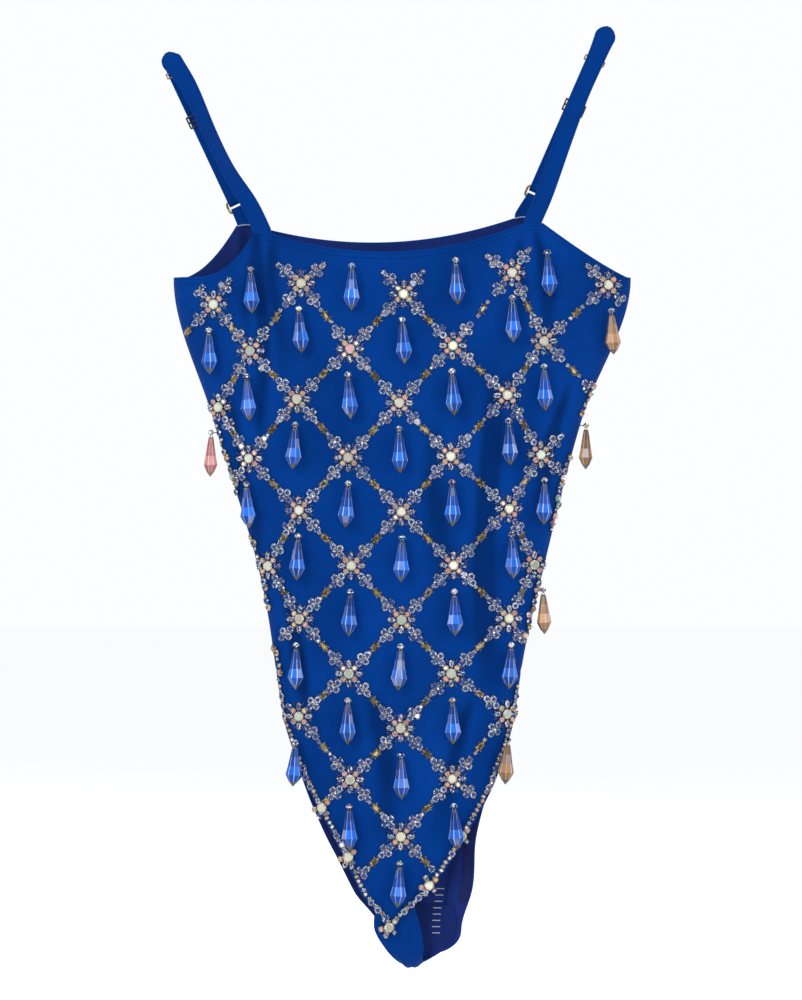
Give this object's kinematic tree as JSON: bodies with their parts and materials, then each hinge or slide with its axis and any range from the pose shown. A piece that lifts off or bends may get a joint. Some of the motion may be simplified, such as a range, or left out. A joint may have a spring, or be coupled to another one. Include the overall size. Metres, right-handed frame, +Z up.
{
  "type": "embellished leotard bodysuit",
  "caption": "Sleeveless high-cut stretch leotard on thin adjustable straps, with a diagonal net of crystals and swinging glass drops, hung by its straps.",
  "frame": {"origin": "on the hanger line that carries both straps, above the middle of the body", "axes": "+Z up, the front of the leotard faces -Y, +X is to the right of someone facing the front"},
  "size_m": [0.4056, 0.0743, 0.8119],
  "materials": {
    "shell_fabric": "matt royal blue stretch knit with a slight sheen",
    "strap_fabric": "royal blue stretch knit, folded and stitched into a flat tube",
    "lining": "smooth navy stretch lining",
    "elastic": "soft flat knitted elastic",
    "crystals": "faceted clear and aurora stones in pale gold claws",
    "pendant_glass": "clear faceted drops",
    "hardware": "polished pale gold plating"
  },
  "bodies": {
    "root": {"front_panel": "shell_fabric", "back_panel": "shell_fabric", "front_lining": "lining", "back_lining": "lining", "crotch_gusset": "shell_fabric", "front_crystal_net": "crystals", "back_crystal_net": "crystals", "left_front_leg_elastic": "elastic", "right_front_leg_elastic": "elastic", "left_back_leg_elastic": "elastic", "right_back_leg_elastic": "elastic", "left_strap": "strap_fabric", "left_back_tab": "strap_fabric", "right_strap": "strap_fabric", "right_back_tab": "strap_fabric"},
    "drop_pendant_1_1": {"drop_pendant_1_1": "pendant_glass"},
    "drop_pendant_1_2": {"drop_pendant_1_2": "pendant_glass"},
    "drop_pendant_1_3": {"drop_pendant_1_3": "pendant_glass"},
    "drop_pendant_1_4": {"drop_pendant_1_4": "pendant_glass"},
    "drop_pendant_2_1": {"drop_pendant_2_1": "pendant_glass"},
    "drop_pendant_2_2": {"drop_pendant_2_2": "pendant_glass"},
    "drop_pendant_2_3": {"drop_pendant_2_3": "pendant_glass"},
    "drop_pendant_2_4": {"drop_pendant_2_4": "pendant_glass"},
    "drop_pendant_2_5": {"drop_pendant_2_5": "pendant_glass"},
    "drop_pendant_3_1": {"drop_pendant_3_1": "pendant_glass"},
    "drop_pendant_3_2": {"drop_pendant_3_2": "pendant_glass"},
    "drop_pendant_3_3": {"drop_pendant_3_3": "pendant_glass"},
    "drop_pendant_3_4": {"drop_pendant_3_4": "pendant_glass"},
    "drop_pendant_4_1": {"drop_pendant_4_1": "pendant_glass"},
    "drop_pendant_4_2": {"drop_pendant_4_2": "pendant_glass"},
    "drop_pendant_4_3": {"drop_pendant_4_3": "pendant_glass"},
    "drop_pendant_4_4": {"drop_pendant_4_4": "pendant_glass"},
    "drop_pendant_4_5": {"drop_pendant_4_5": "pendant_glass"},
    "drop_pendant_5_1": {"drop_pendant_5_1": "pendant_glass"},
    "drop_pendant_5_2": {"drop_pendant_5_2": "pendant_glass"},
    "drop_pendant_5_3": {"drop_pendant_5_3": "pendant_glass"},
    "drop_pendant_5_4": {"drop_pendant_5_4": "pendant_glass"},
    "drop_pendant_6_1": {"drop_pendant_6_1": "pendant_glass"},
    "drop_pendant_6_2": {"drop_pendant_6_2": "pendant_glass"},
    "drop_pendant_6_3": {"drop_pendant_6_3": "pendant_glass"},
    "drop_pendant_7_1": {"drop_pendant_7_1": "pendant_glass"},
    "drop_pendant_7_2": {"drop_pendant_7_2": "pendant_glass"},
    "drop_pendant_7_3": {"drop_pendant_7_3": "pendant_glass"},
    "drop_pendant_8_1": {"drop_pendant_8_1": "pendant_glass"},
    "drop_pendant_8_2": {"drop_pendant_8_2": "pendant_glass"},
    "drop_pendant_8_3": {"drop_pendant_8_3": "pendant_glass"},
    "drop_pendant_9_1": {"drop_pendant_9_1": "pendant_glass"},
    "drop_pendant_9_2": {"drop_pendant_9_2": "pendant_glass"},
    "drop_pendant_10_1": {"drop_pendant_10_1": "pendant_glass"},
    "drop_pendant_10_2": {"drop_pendant_10_2": "pendant_glass"},
    "drop_pendant_10_3": {"drop_pendant_10_3": "pendant_glass"},
    "drop_pendant_11_1": {"drop_pendant_11_1": "pendant_glass"},
    "drop_pendant_11_2": {"drop_pendant_11_2": "pendant_glass"},
    "drop_pendant_12_1": {"drop_pendant_12_1": "pendant_glass"},
    "left_ring": {"left_ring": "hardware"},
    "left_slider": {"left_slider": "hardware"},
    "left_keeper": {"left_keeper": "hardware"},
    "right_ring": {"right_ring": "hardware"},
    "right_slider": {"right_slider": "hardware"},
    "right_keeper": {"right_keeper": "hardware"}
  },
  "joints": [
    {"name": "swing_1_1", "type": "hinge", "parent": "root", "child": "drop_pendant_1_1", "pos_m": [-0.1277, -0.03215, -0.19157], "axis": [-0.1189, -0.9929, 0], "range_deg": [-45, 45]},
    {"name": "swing_1_2", "type": "hinge", "parent": "root", "child": "drop_pendant_1_2", "pos_m": [-0.04158, -0.03806, -0.18941], "axis": [-0.0308, -0.9995, 0], "range_deg": [-45, 45]},
    {"name": "swing_1_3", "type": "hinge", "parent": "root", "child": "drop_pendant_1_3", "pos_m": [0.04623, -0.03775, -0.18465], "axis": [0.0329, -0.9995, 0], "range_deg": [-45, 45]},
    {"name": "swing_1_4", "type": "hinge", "parent": "root", "child": "drop_pendant_1_4", "pos_m": [0.12429, -0.03213, -0.17754], "axis": [0.1108, -0.9938, 0], "range_deg": [-45, 45]},
    {"name": "swing_2_1", "type": "hinge", "parent": "root", "child": "drop_pendant_2_1", "pos_m": [-0.16367, -0.02379, -0.24294], "axis": [-0.2873, -0.9578, 0], "range_deg": [-45, 45]},
    {"name": "swing_2_2", "type": "hinge", "parent": "root", "child": "drop_pendant_2_2", "pos_m": [-0.08662, -0.03639, -0.22555], "axis": [-0.0785, -0.9969, 0], "range_deg": [-45, 45]},
    {"name": "swing_2_3", "type": "hinge", "parent": "root", "child": "drop_pendant_2_3", "pos_m": [0.00089, -0.03949, -0.23493], "axis": [0.0011, -1, 0], "range_deg": [-45, 45]},
    {"name": "swing_2_4", "type": "hinge", "parent": "root", "child": "drop_pendant_2_4", "pos_m": [0.09444, -0.03594, -0.21646], "axis": [0.0832, -0.9965, 0], "range_deg": [-45, 45]},
    {"name": "swing_2_5", "type": "hinge", "parent": "root", "child": "drop_pendant_2_5", "pos_m": [0.17935, -0.02006, -0.22615], "axis": [0.3846, -0.9231, 0], "range_deg": [-45, 45]},
    {"name": "swing_3_1", "type": "hinge", "parent": "root", "child": "drop_pendant_3_1", "pos_m": [-0.13135, -0.02906, -0.28288], "axis": [-0.1901, -0.9818, 0], "range_deg": [-45, 45]},
    {"name": "swing_3_2", "type": "hinge", "parent": "root", "child": "drop_pendant_3_2", "pos_m": [-0.04494, -0.03813, -0.28157], "axis": [-0.0435, -0.9991, 0], "range_deg": [-45, 45]},
    {"name": "swing_3_3", "type": "hinge", "parent": "root", "child": "drop_pendant_3_3", "pos_m": [0.04317, -0.03811, -0.27868], "axis": [0.046, -0.9989, 0], "range_deg": [-45, 45]},
    {"name": "swing_3_4", "type": "hinge", "parent": "root", "child": "drop_pendant_3_4", "pos_m": [0.12161, -0.03057, -0.27437], "axis": [0.1675, -0.9859, 0], "range_deg": [-45, 45]},
    {"name": "swing_4_1", "type": "hinge", "parent": "root", "child": "drop_pendant_4_1", "pos_m": [-0.16245, -0.01179, -0.33032], "axis": [-0.7141, -0.7001, 0], "range_deg": [-45, 45]},
    {"name": "swing_4_2", "type": "hinge", "parent": "root", "child": "drop_pendant_4_2", "pos_m": [-0.08982, -0.03284, -0.32392], "axis": [-0.1118, -0.9937, 0], "range_deg": [-45, 45]},
    {"name": "swing_4_3", "type": "hinge", "parent": "root", "child": "drop_pendant_4_3", "pos_m": [-0.00167, -0.03713, -0.32737], "axis": [0.0015, -1, 0], "range_deg": [-45, 45]},
    {"name": "swing_4_4", "type": "hinge", "parent": "root", "child": "drop_pendant_4_4", "pos_m": [0.09137, -0.03213, -0.32058], "axis": [0.125, -0.9922, 0], "range_deg": [-45, 45]},
    {"name": "swing_4_5", "type": "hinge", "parent": "root", "child": "drop_pendant_4_5", "pos_m": [0.15832, -0.01178, -0.32414], "axis": [0.7167, -0.6974, 0], "range_deg": [-45, 45]},
    {"name": "swing_5_1", "type": "hinge", "parent": "root", "child": "drop_pendant_5_1", "pos_m": [-0.13187, -0.0208, -0.37421], "axis": [-0.3282, -0.9446, 0], "range_deg": [-45, 45]},
    {"name": "swing_5_2", "type": "hinge", "parent": "root", "child": "drop_pendant_5_2", "pos_m": [-0.04477, -0.03379, -0.37373], "axis": [-0.0538, -0.9985, 0], "range_deg": [-45, 45]},
    {"name": "swing_5_3", "type": "hinge", "parent": "root", "child": "drop_pendant_5_3", "pos_m": [0.04343, -0.0337, -0.37267], "axis": [0.0574, -0.9983, 0], "range_deg": [-45, 45]},
    {"name": "swing_5_4", "type": "hinge", "parent": "root", "child": "drop_pendant_5_4", "pos_m": [0.12224, -0.02288, -0.37108], "axis": [0.2732, -0.9619, 0], "range_deg": [-45, 45]},
    {"name": "swing_6_1", "type": "hinge", "parent": "root", "child": "drop_pendant_6_1", "pos_m": [-0.0876, -0.02673, -0.41851], "axis": [-0.1484, -0.9889, 0], "range_deg": [-45, 45]},
    {"name": "swing_6_2", "type": "hinge", "parent": "root", "child": "drop_pendant_6_2", "pos_m": [0.00087, -0.03227, -0.41978], "axis": [0.0017, -1, 0], "range_deg": [-45, 45]},
    {"name": "swing_6_3", "type": "hinge", "parent": "root", "child": "drop_pendant_6_3", "pos_m": [0.09421, -0.02557, -0.41729], "axis": [0.1725, -0.985, 0], "range_deg": [-45, 45]},
    {"name": "swing_7_1", "type": "hinge", "parent": "root", "child": "drop_pendant_7_1", "pos_m": [-0.04304, -0.02936, -0.46604], "axis": [-0.0662, -0.9978, 0], "range_deg": [-45, 45]},
    {"name": "swing_7_2", "type": "hinge", "parent": "root", "child": "drop_pendant_7_2", "pos_m": [0.04545, -0.02917, -0.46565], "axis": [0.0709, -0.9975, 0], "range_deg": [-45, 45]},
    {"name": "swing_7_3", "type": "hinge", "parent": "root", "child": "drop_pendant_7_3", "pos_m": [0.12154, -0.01222, -0.46507], "axis": [0.6396, -0.7687, 0], "range_deg": [-45, 45]},
    {"name": "swing_8_1", "type": "hinge", "parent": "root", "child": "drop_pendant_8_1", "pos_m": [-0.0893, -0.02276, -0.51172], "axis": [-0.2343, -0.9722, 0], "range_deg": [-45, 45]},
    {"name": "swing_8_2", "type": "hinge", "parent": "root", "child": "drop_pendant_8_2", "pos_m": [-0.00024, -0.03088, -0.51219], "axis": [0.0023, -1, 0], "range_deg": [-45, 45]},
    {"name": "swing_8_3", "type": "hinge", "parent": "root", "child": "drop_pendant_8_3", "pos_m": [0.09405, -0.02064, -0.51127], "axis": [0.2955, -0.9553, 0], "range_deg": [-45, 45]},
    {"name": "swing_9_1", "type": "hinge", "parent": "root", "child": "drop_pendant_9_1", "pos_m": [-0.04519, -0.02893, -0.55815], "axis": [-0.0914, -0.9958, 0], "range_deg": [-45, 45]},
    {"name": "swing_9_2", "type": "hinge", "parent": "root", "child": "drop_pendant_9_2", "pos_m": [0.0438, -0.02868, -0.55797], "axis": [0.0983, -0.9952, 0], "range_deg": [-45, 45]},
    {"name": "swing_10_1", "type": "hinge", "parent": "root", "child": "drop_pendant_10_1", "pos_m": [-0.09005, -0.0195, -0.59491], "axis": [-0.3565, -0.9343, 0], "range_deg": [-45, 45]},
    {"name": "swing_10_2", "type": "hinge", "parent": "root", "child": "drop_pendant_10_2", "pos_m": [0.00003, -0.03058, -0.60458], "axis": [0.0029, -1, 0], "range_deg": [-45, 45]},
    {"name": "swing_10_3", "type": "hinge", "parent": "root", "child": "drop_pendant_10_3", "pos_m": [0.09134, -0.01777, -0.59301], "axis": [0.4226, -0.9063, 0], "range_deg": [-45, 45]},
    {"name": "swing_11_1", "type": "hinge", "parent": "root", "child": "drop_pendant_11_1", "pos_m": [-0.04422, -0.02745, -0.64849], "axis": [-0.1096, -0.994, 0], "range_deg": [-45, 45]},
    {"name": "swing_11_2", "type": "hinge", "parent": "root", "child": "drop_pendant_11_2", "pos_m": [0.04512, -0.02715, -0.64814], "axis": [0.1184, -0.993, 0], "range_deg": [-45, 45]},
    {"name": "swing_12_1", "type": "hinge", "parent": "root", "child": "drop_pendant_12_1", "pos_m": [-0.00097, -0.02747, -0.69698], "axis": [0.003, -1, 0], "range_deg": [-45, 45]},
    {"name": "left_ring_pivot", "type": "hinge", "parent": "root", "child": "left_ring", "pos_m": [-0.13905, 0.01845, -0.13647], "axis": [0.9062, 0, 0.4228], "range_deg": [-8, 8]},
    {"name": "left_strap_adjust", "type": "slide", "parent": "root", "child": "left_slider", "axis": [-0.4207, -0.1014, 0.9015], "range_m": [-0.025, 0.025]},
    {"name": "left_keeper_slide", "type": "slide", "parent": "root", "child": "left_keeper", "axis": [-0.4207, -0.1014, 0.9015], "range_m": [-0.006, 0.006]},
    {"name": "right_ring_pivot", "type": "hinge", "parent": "root", "child": "right_ring", "pos_m": [0.11526, 0.01837, -0.12758], "axis": [0.9166, 0, -0.3998], "range_deg": [-8, 8]},
    {"name": "right_strap_adjust", "type": "slide", "parent": "root", "child": "right_slider", "axis": [0.398, -0.0926, 0.9127], "range_m": [-0.025, 0.025]},
    {"name": "right_keeper_slide", "type": "slide", "parent": "root", "child": "right_keeper", "axis": [0.398, -0.0926, 0.9127], "range_m": [-0.006, 0.006]}
  ]
}
